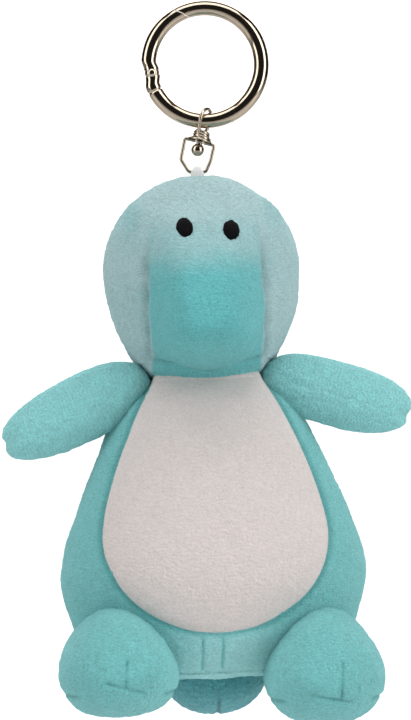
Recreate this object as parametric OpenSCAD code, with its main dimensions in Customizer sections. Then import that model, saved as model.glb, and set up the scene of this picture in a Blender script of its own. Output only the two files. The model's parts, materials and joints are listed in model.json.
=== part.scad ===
// Plush keychain: a soft stuffed animal on a ribbon loop, a swivel and a spring-gate ring.
// Millimetres. +X is to the right seen from the front, +Y points away from the front, +Z is up.
// The origin is the centre of the gate ring, which lies in the XZ plane.

/* [Gate ring] */
// Inside diameter of the ring
ring_inner_d = 24.4; // [24:0.1:26]
// Thickness of the ring's round wire
wire_d = 3.8; // [3.6:0.1:4]
// Direction of the latch at the wire's centre, degrees from +X towards +Z
latch_dir = 115; // [110:1:122]
// Direction of the gate's hinge pin
hinge_dir = 189.4; // [186:0.2:192]
// Direction of the groove round the fixed end of the hinge
groove_dir = 208; // [205:1:212]
// Diameter of the hinge pin's shank
pin_d = 1.1; // [0.9:0.1:1.2]

/* [Swivel] */
// Thickness of the eye's and the bail's wire
swivel_wire_d = 0.9; // [0.8:0.05:1]
// Width of the eye between its wire centres
eye_w = 5.8; // [5.7:0.1:6.2]
// Turn of the eye about its own axis
eye_turn = 65; // [63:1:70]
// Lean of the swivel's axis from the vertical
swivel_lean = 14; // [10:1:16]
// Diameter of the rivet's ball head
ball_d = 3.3; // [3:0.1:3.3]
// Distance between the two upper corners of the bail
bail_w = 7.5; // [7.2:0.1:8]

/* [Ribbon] */
// Width of the ribbon
ribbon_w = 2.8; // [2:0.1:3]
// Thickness of the doubled ribbon
ribbon_t = 0.85; // [0.6:0.05:0.9]

/* [Plush] */
// Lean of the hanging toy from the vertical
plush_lean = 2.3; // [1:0.1:3]
// Turn of the hanging toy towards +X
plush_turn = 3; // [0:0.5:5]
// Thickness of the plush cloth with its pile
cloth_t = 1.3; // [1:0.1:1.5]
// Half width of the head
head_w = 24.5; // [23.5:0.5:25]
// Half depth of the skull
head_depth = 20.5; // [19:0.5:22]
// Half width of the muzzle
muzzle_w = 13.8; // [13:0.2:14.6]
// Reach of the muzzle in front of the head's centre
muzzle_reach = 39; // [36:1:42]
// Droop of the left and right arms below the level
arm_droop = [24, 17]; // [10:1:30]

/* [Hidden] */
$fn = 48;
ring_r = (ring_inner_d + wire_d) / 2;
wire_r = wire_d / 2;
swivel_wire_r = swivel_wire_d / 2;

// The latch is cut to an arc round the hinge pin, so that the gate's end swings clear of it
latch_gap = 0.12;

// The hinge pin stands a little inside the wire's centre line
hinge_r = ring_r - 0.7;
hinge_x = hinge_r * cos(hinge_dir);
hinge_z = hinge_r * sin(hinge_dir);
latch_r = norm([ring_r * cos(latch_dir) - hinge_x, ring_r * sin(latch_dir) - hinge_z]);
latch_reach = 15;
knuckle_r = 1.95;
tongue_y = 0.7;
hinge_gap = 0.12;
pin_gap = 0.06;
groove_depth = 0.25;
groove_half = 0.6;

// Bore in the gate for its spring, along the wire from the hinge
bore_r = 0.65;
bore_dir = 176.5;
bore_from = -1.75;
bore_to = 4.1;
plunger_from = -1.12;
plunger_len = 1.5;
spring_wire_r = 0.11;
spring_turns = 6;

// Swivel heights, measured down its axis from the centre of the ring's wire
eye_up = 0.2;
eye_leg_in = 0.7;
neck_top = 2.5;
neck_rim = 5.0;
neck_top_r = 2.0;
neck_rim_r = 3.0;
plate_top = 5.15;
plate_t = 0.55;
plate_half = 1.5;
stem_r = 0.75;
ball_at = plate_top + plate_t + 0.12 + ball_d / 2;

// Centre of the bail's lower bar, which the ribbon goes round
hang_x = -1.9;
hang_z = -26.9;
bail_bends = [[-6.0, -23.8], [-4.0, hang_z], [0.2, hang_z], [1.4, -24.2]];
bend_swell = 0.03;
ribbon_in = 0.65;

// Heights on the toy, measured down from the lower bar
head_top = 0.95;
head_mid = 25;
head_low = 60;
neck = 52;
muzzle_mid = 34;
muzzle_half = 17;
eye_down = 14.3;
eye_apart = 11.8;
belly_mid = 90;
belly_w = 28;
belly_up = 38;
belly_down = 25;

// Body stations: height, half width, front depth, back depth
body_rows = [
    [neck, 15.5, 12, 13],
    [58, 21.8, 16.5, 17],
    [67, 26.6, 20, 20.5],
    [82, 33, 25, 25],
    [99, 38.2, 28.5, 28],
    [110, 36.3, 27.5, 27.5],
    [118, 32, 24, 25],
    [124, 20, 15, 16]
];

// Arms: shoulder pivot, reach beyond it, half width and half thickness
shoulder_x = 31;
shoulder_y = -3;
shoulder_down = [57.8, 56.4];
arm_reach = [22, 20.6];
arm_root = 8.2;
arm_w = 8.3;
arm_thick = 7;

// Feet: middle, half width, half length, half height
foot_x = 25.3;
foot_y = -17.5;
foot_down = [122.8, 126];
foot_w = 14.8;
foot_long = 21;
foot_high = [11.2, 11.9];
sole_up = 5;

// Tail: middle, half width, half length, half height
tail_y = 17;
tail_down = 125;
tail_w = 13.3;
tail_long = 26;
tail_high = 11.6;

// ---------------------------------------------------------------- gate ring

// Round wire bent to the ring's curve between two directions
module ring_arc(from_dir, to_dir, r = wire_r) {
    rotate([90, 0, 0])
        rotate([0, 0, from_dir])
            rotate_extrude(angle = to_dir - from_dir, $fn = 96)
                translate([ring_r, 0])
                    circle(r = r, $fn = 40);
}

// Block round the wire between two directions, from radius r_in to r_out
module ring_block(from_dir, to_dir, r_in, r_out) {
    rotate([90, 0, 0])
        rotate([0, 0, from_dir])
            rotate_extrude(angle = to_dir - from_dir, $fn = 96)
                translate([r_in, -wire_d])
                    square([r_out - r_in, 2 * wire_d]);
}

// Places children at the gate's hinge, their own Z along the pin
module at_hinge() {
    translate([hinge_x, 0, hinge_z])
        rotate([90, 0, 0])
            children();
}

// Everything nearer the hinge pin than r
module inside_latch(r) {
    at_hinge()
        cylinder(r = r, h = 2 * wire_d, center = true, $fn = 240);
}

// Fixed part of the ring: arc-cut end at the latch, tongue and groove at the hinge
module ring_body() {
    color("tan")
        difference() {
            union() {
                ring_arc(hinge_dir + 1.2, 360 + latch_dir + latch_reach);
                at_hinge()
                    cylinder(r = knuckle_r - 0.15, h = 2 * tongue_y, center = true);
            }
            intersection() {
                inside_latch(latch_r + latch_gap);
                ring_block(latch_dir - latch_reach, latch_dir + latch_reach + 5,
                    ring_r - wire_d, ring_r + wire_d);
            }
            for (side = [-1, 1])
                at_hinge()
                    translate([0, 0, side * (tongue_y + wire_r)])
                        cylinder(r = knuckle_r + hinge_gap, h = 2 * wire_r, center = true);
            at_hinge()
                cylinder(r = pin_d / 2 + pin_gap, h = wire_d, center = true);
            difference() {
                ring_arc(groove_dir - groove_half, groove_dir + groove_half, wire_r + 0.1);
                ring_arc(groove_dir - 2, groove_dir + 2, wire_r - groove_depth);
            }
        }
}

// Swinging gate: arc-cut end at the latch, ball knuckle slotted for the tongue, spring bore
module ring_gate() {
    color("tan")
        difference() {
            union() {
                intersection() {
                    ring_arc(latch_dir - latch_reach, hinge_dir);
                    inside_latch(latch_r);
                }
                at_hinge()
                    sphere(r = knuckle_r, $fn = 40);
            }
            at_hinge()
                cylinder(r = knuckle_r + hinge_gap, h = 2 * (tongue_y + hinge_gap), center = true);
            at_hinge()
                cylinder(r = pin_d / 2, h = 2 * wire_d, center = true);
            at_bore()
                translate([0, 0, bore_from])
                    cylinder(r = bore_r, h = bore_to - bore_from);
        }
}

// Places children on the spring bore, their own +Z away from the hinge
module at_bore() {
    translate([ring_r * cos(bore_dir), 0, ring_r * sin(bore_dir)])
        rotate([0, 180 - bore_dir, 0])
            children();
}

// Rivet through the gate's knuckle, with a flattened dome at each end
module gate_pin() {
    color("lightgray")
        at_hinge() {
            cylinder(r = pin_d / 2, h = 2 * knuckle_r - 0.2, center = true);
            for (side = [0, 180])
                rotate([side, 0, 0])
                    translate([0, 0, knuckle_r - 0.1])
                        rotate_extrude()
                            intersection() {
                                translate([0, -0.55])
                                    circle(r = 1.1);
                                square([2, 2]);
                            }
        }
}

// Plunger that the spring presses on the hinge's tongue
module gate_plunger() {
    color("gray")
        at_bore()
            translate([0, 0, plunger_from])
                cylinder(r = bore_r - pin_gap, h = plunger_len);
}

// Points of the spring's round wire at one step along the coil
coil_r = bore_r - pin_gap - spring_wire_r;
coil_from = plunger_from + plunger_len + 0.15;
coil_rise = bore_to - 0.15 - coil_from;
coil_steps = spring_turns * 12;
coil_sides = 6;
function coil_ring(k) =
    let (turn = 360 * spring_turns * k / coil_steps, z = coil_from + coil_rise * k / coil_steps)
    [
        for (i = [0 : coil_sides - 1])
            let (a = 360 * i / coil_sides, r = coil_r + spring_wire_r * cos(a))
            [r * cos(turn), r * sin(turn), z + spring_wire_r * sin(a)]
    ];
module gate_spring() {
    color("gray")
        at_bore()
            soft_solid([for (k = [coil_steps : -1 : 0]) coil_ring(k)]);
}

// ---------------------------------------------------------------- swivel

// Places children on the swivel's axis, their own -Z down the axis
module at_swivel() {
    translate([0, 0, -ring_r])
        rotate([0, swivel_lean, 0])
            children();
}

// Straight length of wire with a slightly swollen round bend at each end
module wire_between(a, b) {
    d = b - a;
    translate(a)
        rotate([0, acos(d[2] / norm(d)), atan2(d[1], d[0])])
            cylinder(r = swivel_wire_r, h = norm(d), $fn = 24);
    for (p = [a, b])
        translate(p)
            sphere(r = swivel_wire_r + bend_swell, $fn = 24);
}

// Eye round the ring with the flared neck that its wire is wound into
module swivel_eye() {
    eye_r = eye_w / 2;
    color("tan")
        at_swivel()
            difference() {
                union() {
                    rotate([0, 0, eye_turn]) {
                        translate([0, 0, eye_up])
                            rotate([90, 0, 0])
                                rotate_extrude(angle = 180)
                                    translate([eye_r, 0])
                                        circle(r = swivel_wire_r, $fn = 24);
                        for (side = [-1, 1])
                            wire_between([side * eye_r, 0, eye_up], [side * eye_r * eye_leg_in, 0, -3.2]);
                    }
                    translate([0, 0, -neck_rim])
                        rotate_extrude()
                            polygon([
                                [0, 0],
                                [neck_rim_r - 0.25, 0],
                                [neck_rim_r, 0.25],
                                [neck_rim_r, 0.6],
                                [neck_top_r + 0.25, 1.3],
                                [neck_top_r, neck_rim - neck_top - 0.3],
                                [neck_top_r - 0.3, neck_rim - neck_top],
                                [0, neck_rim - neck_top]
                            ]);
                }
                translate([0, 0, -neck_rim - 1])
                    cylinder(r = stem_r, h = 3);
            }
}

// Rivet that holds the bail under the neck and lets it turn
module swivel_rivet() {
    color("silver")
        at_swivel() {
            translate([0, 0, -ball_at])
                cylinder(r = stem_r, h = ball_at - neck_rim + 2);
            translate([0, 0, -ball_at])
                sphere(r = ball_d / 2);
        }
}

// Bail: a flat eye that turns on the rivet, with the wire bent down to the lower bar
module swivel_bail() {
    corner = [for (side = [-1, 1]) [
        side * bail_w / 2 * cos(swivel_lean) - (plate_top + plate_t / 2) * sin(swivel_lean),
        -ring_r - side * bail_w / 2 * sin(swivel_lean) - (plate_top + plate_t / 2) * cos(swivel_lean)
    ]];
    route = [corner[0], each bail_bends, corner[1]];
    color("tan") {
        at_swivel()
            difference() {
                translate([0, 0, -plate_top - plate_t])
                    linear_extrude(plate_t) {
                        circle(r = plate_half + 0.3);
                        translate([-bail_w / 2, -swivel_wire_r])
                            square([bail_w, swivel_wire_d]);
                    }
                translate([0, 0, -plate_top - 1])
                    cylinder(r = stem_r + pin_gap, h = 2);
            }
        for (k = [0 : len(route) - 2])
            wire_between([route[k][0], 0, route[k][1]], [route[k + 1][0], 0, route[k + 1][1]]);
    }
}

// ---------------------------------------------------------------- soft shapes

// Places children in the toy's own frame: its top at the lower bar, its front towards -Y
module at_plush() {
    translate([hang_x, 0, hang_z])
        rotate([0, -plush_lean, 0])
            rotate([0, 0, plush_turn])
                children();
}

// Hub of the fan that closes a ring: a little off its middle, so that no spoke of one shape
// passes through a corner of another shape inside it
function hub(ring) =
    let (cols = len(ring), ones = [for (point = ring) 1])
    0.97 * (ones * ring) / cols + 0.02 * ring[floor(cols / 6)] + 0.01 * ring[floor(cols / 3)];

// Closed solid through rings of points, with a fan of triangles on each end
module soft_solid(rings) {
    rows = len(rings);
    cols = len(rings[0]);
    n = rows * cols;
    sides = [
        for (j = [0 : rows - 2], i = [0 : cols - 1])
            let (
                a = j * cols + i,
                b = j * cols + (i + 1) % cols,
                c = a + cols,
                d = b + cols
            )
            each [[a, b, d], [a, d, c]]
    ];
    first = [for (i = [0 : cols - 1]) [n, (i + 1) % cols, i]];
    last = [for (i = [0 : cols - 1]) [n + 1, n - cols + i, n - cols + (i + 1) % cols]];
    polyhedron(
        points = concat(
            [for (ring = rings) each ring],
            [hub(rings[0]), hub(rings[rows - 1])]
        ),
        faces = concat(sides, first, last)
    );
}

// Directions once round a shape, counted from the front towards +X
function directions(count) = [for (i = [0 : count - 1]) 360 * i / count];

// Superellipse: how far a curve of half widths a and b reaches in one direction
function reach(angle, a, b, power) =
    (abs(sin(angle) / a) ^ power + abs(cos(angle) / b) ^ power) ^ (-1 / power);

// Fullness of a rounded shape at t, from 0 at t = -1 and t = 1 to 1 at t = 0
function fullness(t, power) = max(0, 1 - min(1, abs(t)) ^ power) ^ (1 / power);

// Smooth curve through column k of the stations, at height d
function station_at(rows, d, i = 0) =
    i >= len(rows) - 2 || d < rows[i + 1][0] ? i : station_at(rows, d, i + 1);
function slope_at(rows, i, k) =
    let (a = max(i - 1, 0), b = min(i + 1, len(rows) - 1))
    (rows[b][k] - rows[a][k]) / (rows[b][0] - rows[a][0]);
function smooth(rows, d, k) =
    let (
        i = station_at(rows, d),
        span = rows[i + 1][0] - rows[i][0],
        t = (d - rows[i][0]) / span
    )
    rows[i][k] * (2 * t ^ 3 - 3 * t ^ 2 + 1) + rows[i + 1][k] * (3 * t ^ 2 - 2 * t ^ 3)
        + slope_at(rows, i, k) * span * (t ^ 3 - 2 * t ^ 2 + t)
        + slope_at(rows, i + 1, k) * span * (t ^ 3 - t ^ 2);

// Rounded limb that runs from z = root to z = -tip, with half width a and half thickness b
module limb(a, b, root, tip, inset) {
    half = (root + tip) / 2;
    soft_solid([
        for (k = [1 : 11])
            let (t = -cos(15 * k), f = fullness(t, 2.4))
            [
                for (angle = directions(20))
                    let (r = reach(angle, a * f - inset * f, b * f - inset * f, 2.2))
                    [r * sin(angle), -r * cos(angle), root - half - t * (half - inset)]
            ]
    ]);
}

// Half space in front of, behind, left or right of a plane: a big block on that side
module half_space(direction, offset = 0) {
    big = 400;
    translate(direction * (big / 2 + offset))
        cube(big, center = true);
}

// ---------------------------------------------------------------- ribbon

// Ribbon doubled over the lower bar, its ends sewn into the top of the head
module ribbon_loop() {
    out = ribbon_in + ribbon_t;
    color("white")
        translate([hang_x, 0, hang_z])
            rotate([90, 0, 90])
                translate([0, 0, -ribbon_w / 2])
                    difference() {
                        linear_extrude(ribbon_w)
                            union() {
                                circle(r = out);
                                translate([-out, -1.1])
                                    square([2 * out, 1.1]);
                            }
                        translate([0, 0, -1])
                            cylinder(r = ribbon_in, h = ribbon_w + 2);
                        at_head_top_cut();
                    }
}

// Everything below the head's top, so that the ribbon's ends stop there
module at_head_top_cut() {
    translate([-5, -head_top - 4.02, -5])
        cube([10, 4, 10]);
}

// ---------------------------------------------------------------- head

function head_scale(d) =
    fullness((d - head_mid) / (d < head_mid ? head_mid - head_top : head_low - head_mid), 2);
function muzzle_front(d, inset) =
    max(0.1, (muzzle_reach - inset) * fullness((d - muzzle_mid) / (muzzle_half - inset), 2.6));
function head_point(d, angle, inset) =
    let (
        low = d < head_mid ? head_mid - (head_mid - d) * (1 - inset / (head_mid - head_top)) : d,
        skull = reach(angle, head_w * head_scale(d) - inset, head_depth * head_scale(d) - inset, 2),
        muzzle = cos(angle) > 0 ? reach(angle, muzzle_w - inset, muzzle_front(low, inset), 4) : 0,
        r = (skull ^ 10 + muzzle ^ 10) ^ 0.1
    )
    [r * sin(angle), -r * cos(angle), -low];
head_rows = concat(
    [for (k = [1 : 7]) head_mid - (head_mid - head_top) * cos(13 * k - 1)],
    [for (k = [1 : 9]) head_mid + (neck - head_mid) * sin(10 * k)]
);

// The head's surface, moved in by inset, with its last row carried further down by through
module head_solid(inset = 0, through = 0) {
    soft_solid([
        for (d = head_rows)
            let (drop = [0, 0, d < neck ? 0 : -through])
            [for (angle = directions(36)) head_point(d, angle, inset) + drop]
    ]);
}

// Cloth of the head, open at the neck
module head_cloth() {
    difference() {
        head_solid();
        head_solid(cloth_t, 0.4);
    }
}

// Strip over the forehead, crown and nape, which narrows towards the tip of the muzzle
gusset_half = [15.5, 6];
module gusset_strip() {
    translate([0, 0, -100])
        linear_extrude(100)
            polygon([
                [-gusset_half[1], -60],
                [gusset_half[1], -60],
                [gusset_half[0], -16],
                [gusset_half[0], 1],
                [muzzle_w / 2, 1],
                [muzzle_w / 2, 60],
                [-muzzle_w / 2, 60],
                [-muzzle_w / 2, 1],
                [-gusset_half[0], 1],
                [-gusset_half[0], -16]
            ]);
}

module head_stuffing() {
    color("ivory")
        at_plush()
            head_solid(cloth_t);
}
module head_gusset() {
    color("mediumturquoise")
        at_plush()
            intersection() {
                head_cloth();
                gusset_strip();
            }
}
module head_side(side) {
    color("paleturquoise")
        at_plush()
            difference() {
                intersection() {
                    head_cloth();
                    half_space([side, 0, 0]);
                }
                gusset_strip();
            }
}

// Embroidered eye: a thin oval of thread on the gusset
eye_half_w = 2;
eye_half_h = 2.45;
eye_t = 0.35;
module eye(side) {
    color("black")
        at_plush()
            intersection() {
                difference() {
                    head_solid(-eye_t);
                    head_solid();
                }
                translate([side * eye_apart / 2, -head_depth, -eye_down])
                    rotate([90, 0, 0])
                        scale([eye_half_w, eye_half_h, 1])
                            cylinder(r = 1, h = 2 * head_depth, center = true, $fn = 32);
            }
}

// ---------------------------------------------------------------- body

function body_point(d, angle, inset) =
    let (
        depth = smooth(body_rows, d, cos(angle) > 0 ? 2 : 3),
        low = d > 110 ? d - inset * (d - 110) / (124 - 110) : d,
        r = reach(angle, smooth(body_rows, d, 1) - inset, depth - inset, 2.1)
    )
    [r * sin(angle), -r * cos(angle), -low];
body_heights = [
    for (k = [0 : 15]) neck + 0.05 + (124 - neck - 0.05) * (k / 15 + 0.035 * sin(360 * k / 15))
];

// The body's surface, moved in by inset
module body_solid(inset = 0) {
    soft_solid([for (d = body_heights) [for (angle = directions(40)) body_point(d, angle, inset)]]);
}
module body_cloth() {
    difference() {
        body_solid();
        body_solid(cloth_t);
    }
}

// Egg-shaped outline of the belly panel, flat at the neck, run through the front of the body
module belly_outline() {
    up = [for (k = [0 : 8]) [
        belly_w * (1 - 0.52 * (1 - k / 8) ^ 1.5),
        -belly_mid + belly_up * (1 - k / 8) + (k == 0 ? 1 : 0)
    ]];
    down = [for (k = [1 : 9]) [belly_w * cos(10 * k), -belly_mid - belly_down * sin(10 * k)]];
    right = concat(up, down);
    left = [for (k = [len(right) - 2 : -1 : 0]) [-right[k][0], right[k][1]]];
    rotate([90, 0, 0])
        linear_extrude(100)
            polygon(concat(right, left));
}
module body_stuffing() {
    color("ivory")
        at_plush()
            body_solid(cloth_t);
}
module belly_panel() {
    color("whitesmoke")
        at_plush()
            intersection() {
                body_cloth();
                belly_outline();
            }
}
module body_side(side) {
    color("mediumturquoise")
        at_plush()
            difference() {
                intersection() {
                    body_cloth();
                    half_space([side, 0, 0]);
                }
                belly_outline();
            }
}

// ---------------------------------------------------------------- arms, feet and tail

// The arm's surface, moved in by inset; side is -1 or 1 and index is 0 or 1
module arm_solid(side, inset = 0) {
    index = side < 0 ? 0 : 1;
    translate([side * shoulder_x, shoulder_y, -shoulder_down[index]])
        rotate([0, -side * (90 - arm_droop[index]), 0])
            limb(arm_w, arm_thick, arm_root, arm_reach[index], inset);
}
module arm_panel(side, front) {
    color("mediumturquoise")
        at_plush()
            intersection() {
                difference() {
                    arm_solid(side);
                    arm_solid(side, cloth_t);
                }
                half_space([0, front, 0], front * shoulder_y);
            }
}
module arm_stuffing(side) {
    color("ivory")
        at_plush()
            arm_solid(side, cloth_t);
}

// The foot's surface, moved in by inset
module foot_solid(side, inset = 0) {
    index = side < 0 ? 0 : 1;
    translate([side * foot_x, foot_y, -foot_down[index]])
        rotate([-90, 0, 0])
            limb(foot_w, foot_high[index], foot_long, foot_long, inset);
}

// Cloth of the foot above or below the edge of the sole
module foot_panel(side, up) {
    index = side < 0 ? 0 : 1;
    color("mediumturquoise")
        at_plush()
            intersection() {
                difference() {
                    foot_solid(side);
                    foot_solid(side, cloth_t);
                    body_solid();
                }
                half_space([0, 0, up], -up * (foot_down[index] + sole_up));
            }
}
module foot_stuffing(side) {
    color("ivory")
        at_plush()
            difference() {
                foot_solid(side, cloth_t);
                body_solid();
            }
}

// The tail's surface, moved in by inset
module tail_solid(inset = 0) {
    translate([0, tail_y, -tail_down])
        rotate([90, 0, 0])
            limb(tail_w, tail_high, tail_long, tail_long, inset);
}
module tail_panel(side) {
    color("cadetblue")
        at_plush()
            intersection() {
                difference() {
                    tail_solid();
                    tail_solid(cloth_t);
                    body_solid();
                    foot_solid(-1);
                    foot_solid(1);
                }
                half_space([side, 0, 0]);
            }
}
module tail_stuffing() {
    color("ivory")
        at_plush()
            difference() {
                tail_solid(cloth_t);
                body_solid();
                foot_solid(-1);
                foot_solid(1);
            }
}

ring_body();
ring_gate();
gate_pin();
gate_spring();
gate_plunger();
swivel_eye();
swivel_rivet();
swivel_bail();
ribbon_loop();
head_stuffing();
head_gusset();
head_side(-1);  // head_side_left
head_side(1);  // head_side_right
eye(-1);  // eye_left
eye(1);  // eye_right
body_stuffing();
belly_panel();
body_side(-1);  // body_side_left
body_side(1);  // body_side_right
arm_panel(-1, -1);  // arm_left_front
arm_panel(-1, 1);  // arm_left_back
arm_stuffing(-1);  // arm_left_stuffing
arm_panel(1, -1);  // arm_right_front
arm_panel(1, 1);  // arm_right_back
arm_stuffing(1);  // arm_right_stuffing
foot_panel(-1, 1);  // foot_left_upper
foot_panel(-1, -1);  // foot_left_sole
foot_stuffing(-1);  // foot_left_stuffing
foot_panel(1, 1);  // foot_right_upper
foot_panel(1, -1);  // foot_right_sole
foot_stuffing(1);  // foot_right_stuffing
tail_panel(-1);  // tail_left
tail_panel(1);  // tail_right
tail_stuffing();
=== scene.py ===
import json
import math

import bpy
import numpy as np
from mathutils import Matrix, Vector


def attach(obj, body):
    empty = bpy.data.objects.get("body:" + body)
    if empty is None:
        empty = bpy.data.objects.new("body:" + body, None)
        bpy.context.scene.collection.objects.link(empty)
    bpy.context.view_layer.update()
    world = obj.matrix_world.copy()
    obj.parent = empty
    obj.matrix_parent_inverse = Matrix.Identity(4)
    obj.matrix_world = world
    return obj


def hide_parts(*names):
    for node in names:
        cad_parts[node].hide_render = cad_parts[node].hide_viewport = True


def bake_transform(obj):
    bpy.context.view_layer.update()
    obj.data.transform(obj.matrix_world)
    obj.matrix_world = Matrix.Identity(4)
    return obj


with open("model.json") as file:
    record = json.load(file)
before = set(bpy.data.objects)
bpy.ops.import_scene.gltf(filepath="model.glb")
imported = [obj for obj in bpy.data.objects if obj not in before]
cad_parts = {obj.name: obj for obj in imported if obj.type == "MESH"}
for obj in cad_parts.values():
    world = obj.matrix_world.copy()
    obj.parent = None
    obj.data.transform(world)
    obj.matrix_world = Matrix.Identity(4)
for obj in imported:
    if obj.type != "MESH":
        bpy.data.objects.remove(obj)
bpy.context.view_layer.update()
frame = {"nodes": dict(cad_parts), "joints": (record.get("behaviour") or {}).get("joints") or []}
MM = 0.001


# ---- Studio: the charm hangs in front of a pale paper sweep, lit by soft panels.
# The paper is one sheet that runs along the floor and curves up behind the charm.

SWEEP_LOW = -560.0
SWEEP_BEND = 300.0
SWEEP_FRONT = -1800.0
SWEEP_BACK = 3400.0
SWEEP_SIDE = 4000.0
VIEW_FROM = 1200.0
VIEW_HEIGHT = 180.0
VIEW_MIDDLE = (0.15, 0.0, -73.9)
ROOM_LIGHT = 0.025


def add_piece(name, points, faces, material=None):
    """Object with a smooth-shaded mesh of these points, given in millimetres."""
    mesh = bpy.data.meshes.new(name)
    mesh.from_pydata((np.asarray(points) * MM).tolist(), [], faces)
    mesh.shade_smooth()
    if material:
        mesh.materials.append(material)
    piece = bpy.data.objects.new(name, mesh)
    bpy.context.scene.collection.objects.link(piece)
    return piece


def paper_sweep():
    """Flat floor, a quarter circle and an upright wall, carried straight from side to side."""
    turn = np.linspace(0, math.pi / 2, 24)
    bend_y = SWEEP_BACK - SWEEP_BEND + SWEEP_BEND * np.sin(turn)
    bend_z = SWEEP_LOW + SWEEP_BEND * (1 - np.cos(turn))
    along = np.concatenate([[SWEEP_FRONT], bend_y, [SWEEP_BACK]])
    up = np.concatenate([[SWEEP_LOW], bend_z, [SWEEP_SIDE]])
    side = np.array([-SWEEP_SIDE, SWEEP_SIDE])
    points = np.stack(np.broadcast_arrays(side[None], along[:, None], up[:, None]), -1)
    rows = len(along)
    faces = [[2 * k, 2 * k + 1, 2 * k + 3, 2 * k + 2] for k in range(rows - 1)]
    paper = bpy.data.materials.new("studio_paper")
    paper.use_nodes = True
    shader = paper.node_tree.nodes["Principled BSDF"]
    shader.inputs["Base Color"].default_value = (0.92, 0.92, 0.92, 1)
    shader.inputs["Roughness"].default_value = 0.9
    add_piece("studio_sweep", points.reshape(-1, 3), faces, paper)


def aimed(holder, place, aim):
    """Puts a lamp or camera at one place and points it at another."""
    holder.location = Vector(place) * MM
    direction = (Vector(aim) - Vector(place)).normalized()
    holder.rotation_euler = direction.to_track_quat("-Z", "Y").to_euler()
    bpy.context.scene.collection.objects.link(holder)


def soft_panel(name, place, aim, width, height, power):
    """Rectangular area light at one place, turned towards another."""
    lamp = bpy.data.lights.new(name, "AREA")
    lamp.shape = "RECTANGLE"
    lamp.size = width * MM
    lamp.size_y = height * MM
    lamp.energy = power
    aimed(bpy.data.objects.new(name, lamp), place, aim)


def studio():
    """Sweep, panels, a dim grey room and a long-lens camera level with the charm's middle."""
    paper_sweep()
    soft_panel("panel_left", (-1000, -560, 300), VIEW_MIDDLE, 640, 1500, 9.4)
    soft_panel("panel_right", (1000, -620, 250), VIEW_MIDDLE, 640, 1500, 12.4)
    soft_panel("panel_top", (0, -350, 1000), VIEW_MIDDLE, 1300, 700, 8.6)
    soft_panel("panel_low", (0, -900, -900), VIEW_MIDDLE, 1300, 700, 5.0)
    soft_panel("panel_back", (0, 1100, 800), VIEW_MIDDLE, 1500, 800, 14)
    soft_panel("panel_paper", (0, SWEEP_BACK - 550, 900), (0, SWEEP_BACK, -60), 6000, 500, 64)
    world = bpy.data.worlds.new("grey_room")
    world.use_nodes = True
    background = world.node_tree.nodes["Background"]
    seen = world.node_tree.nodes.new("ShaderNodeLightPath").outputs["Is Camera Ray"]
    glow = world.node_tree.nodes.new("ShaderNodeMath")
    glow.operation = "MAXIMUM"
    glow.inputs[1].default_value = ROOM_LIGHT
    world.node_tree.links.new(seen, glow.inputs[0])
    world.node_tree.links.new(glow.outputs[0], background.inputs["Strength"])
    background.inputs["Color"].default_value = (1, 1, 1, 1)
    bpy.context.scene.world = world
    bpy.context.scene.view_settings.view_transform = "Standard"
    lens = bpy.data.cameras.new("camera")
    lens.sensor_fit = "VERTICAL"
    lens.sensor_height = 36.0
    lens.lens = 36.0 * VIEW_FROM / VIEW_HEIGHT
    lens.clip_end = 20.0
    holder = bpy.data.objects.new("camera", lens)
    aimed(holder, (VIEW_MIDDLE[0], -VIEW_FROM, VIEW_MIDDLE[2]), VIEW_MIDDLE)
    bpy.context.scene.camera = holder


studio()


# ---- Gate ring: a die-cast ring and gate, polished and plated in pale gold.
# The gate is riveted to the ring's tongue at a ball-shaped knuckle, and a spring in its bore
# holds it shut against the end of the fixed part.

RING_R = 14.1
WIRE_R = 1.9
LATCH_DIR = 115.0
LATCH_GAP = 0.12
HINGE_DIR = 189.4
HINGE_R = 13.4
KNUCKLE_R = 1.95
TONGUE_HALF = 0.7
TONGUE_R = 1.8
GROOVE_DIR = 208.0
GROOVE_DEPTH = 0.25
GROOVE_WIDE = 0.9
RIVET_R = 1.0
PLATE_COLOUR = (0.43, 0.36, 0.28)
RIVET_COLOUR = (0.50, 0.45, 0.37)
STEEL_COLOUR = (0.42, 0.42, 0.44)


def socket(group, name, kind, way, value=None):
    """Named input or output of a node group."""
    made = group.interface.new_socket(name, in_out=way, socket_type=kind)
    if value is not None:
        made.default_value = value
    return made


def linked(tree, kind, **inputs):
    """New node, each named input joined to a socket or given a value."""
    node = tree.nodes.new(kind)
    for name, value in inputs.items():
        entry = node.inputs[int(name[1:])] if name[0] == "i" and name[1:].isdigit() else \
            node.inputs[name.replace("_", " ")]
        if isinstance(value, bpy.types.NodeSocket):
            tree.links.new(value, entry)
        else:
            entry.default_value = value
    return node


def sums(tree, operation, first, second):
    """Output of a Math node on two sockets or values."""
    node = linked(tree, "ShaderNodeMath", i0=first, i1=second)
    node.operation = operation
    return node.outputs[0]


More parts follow.
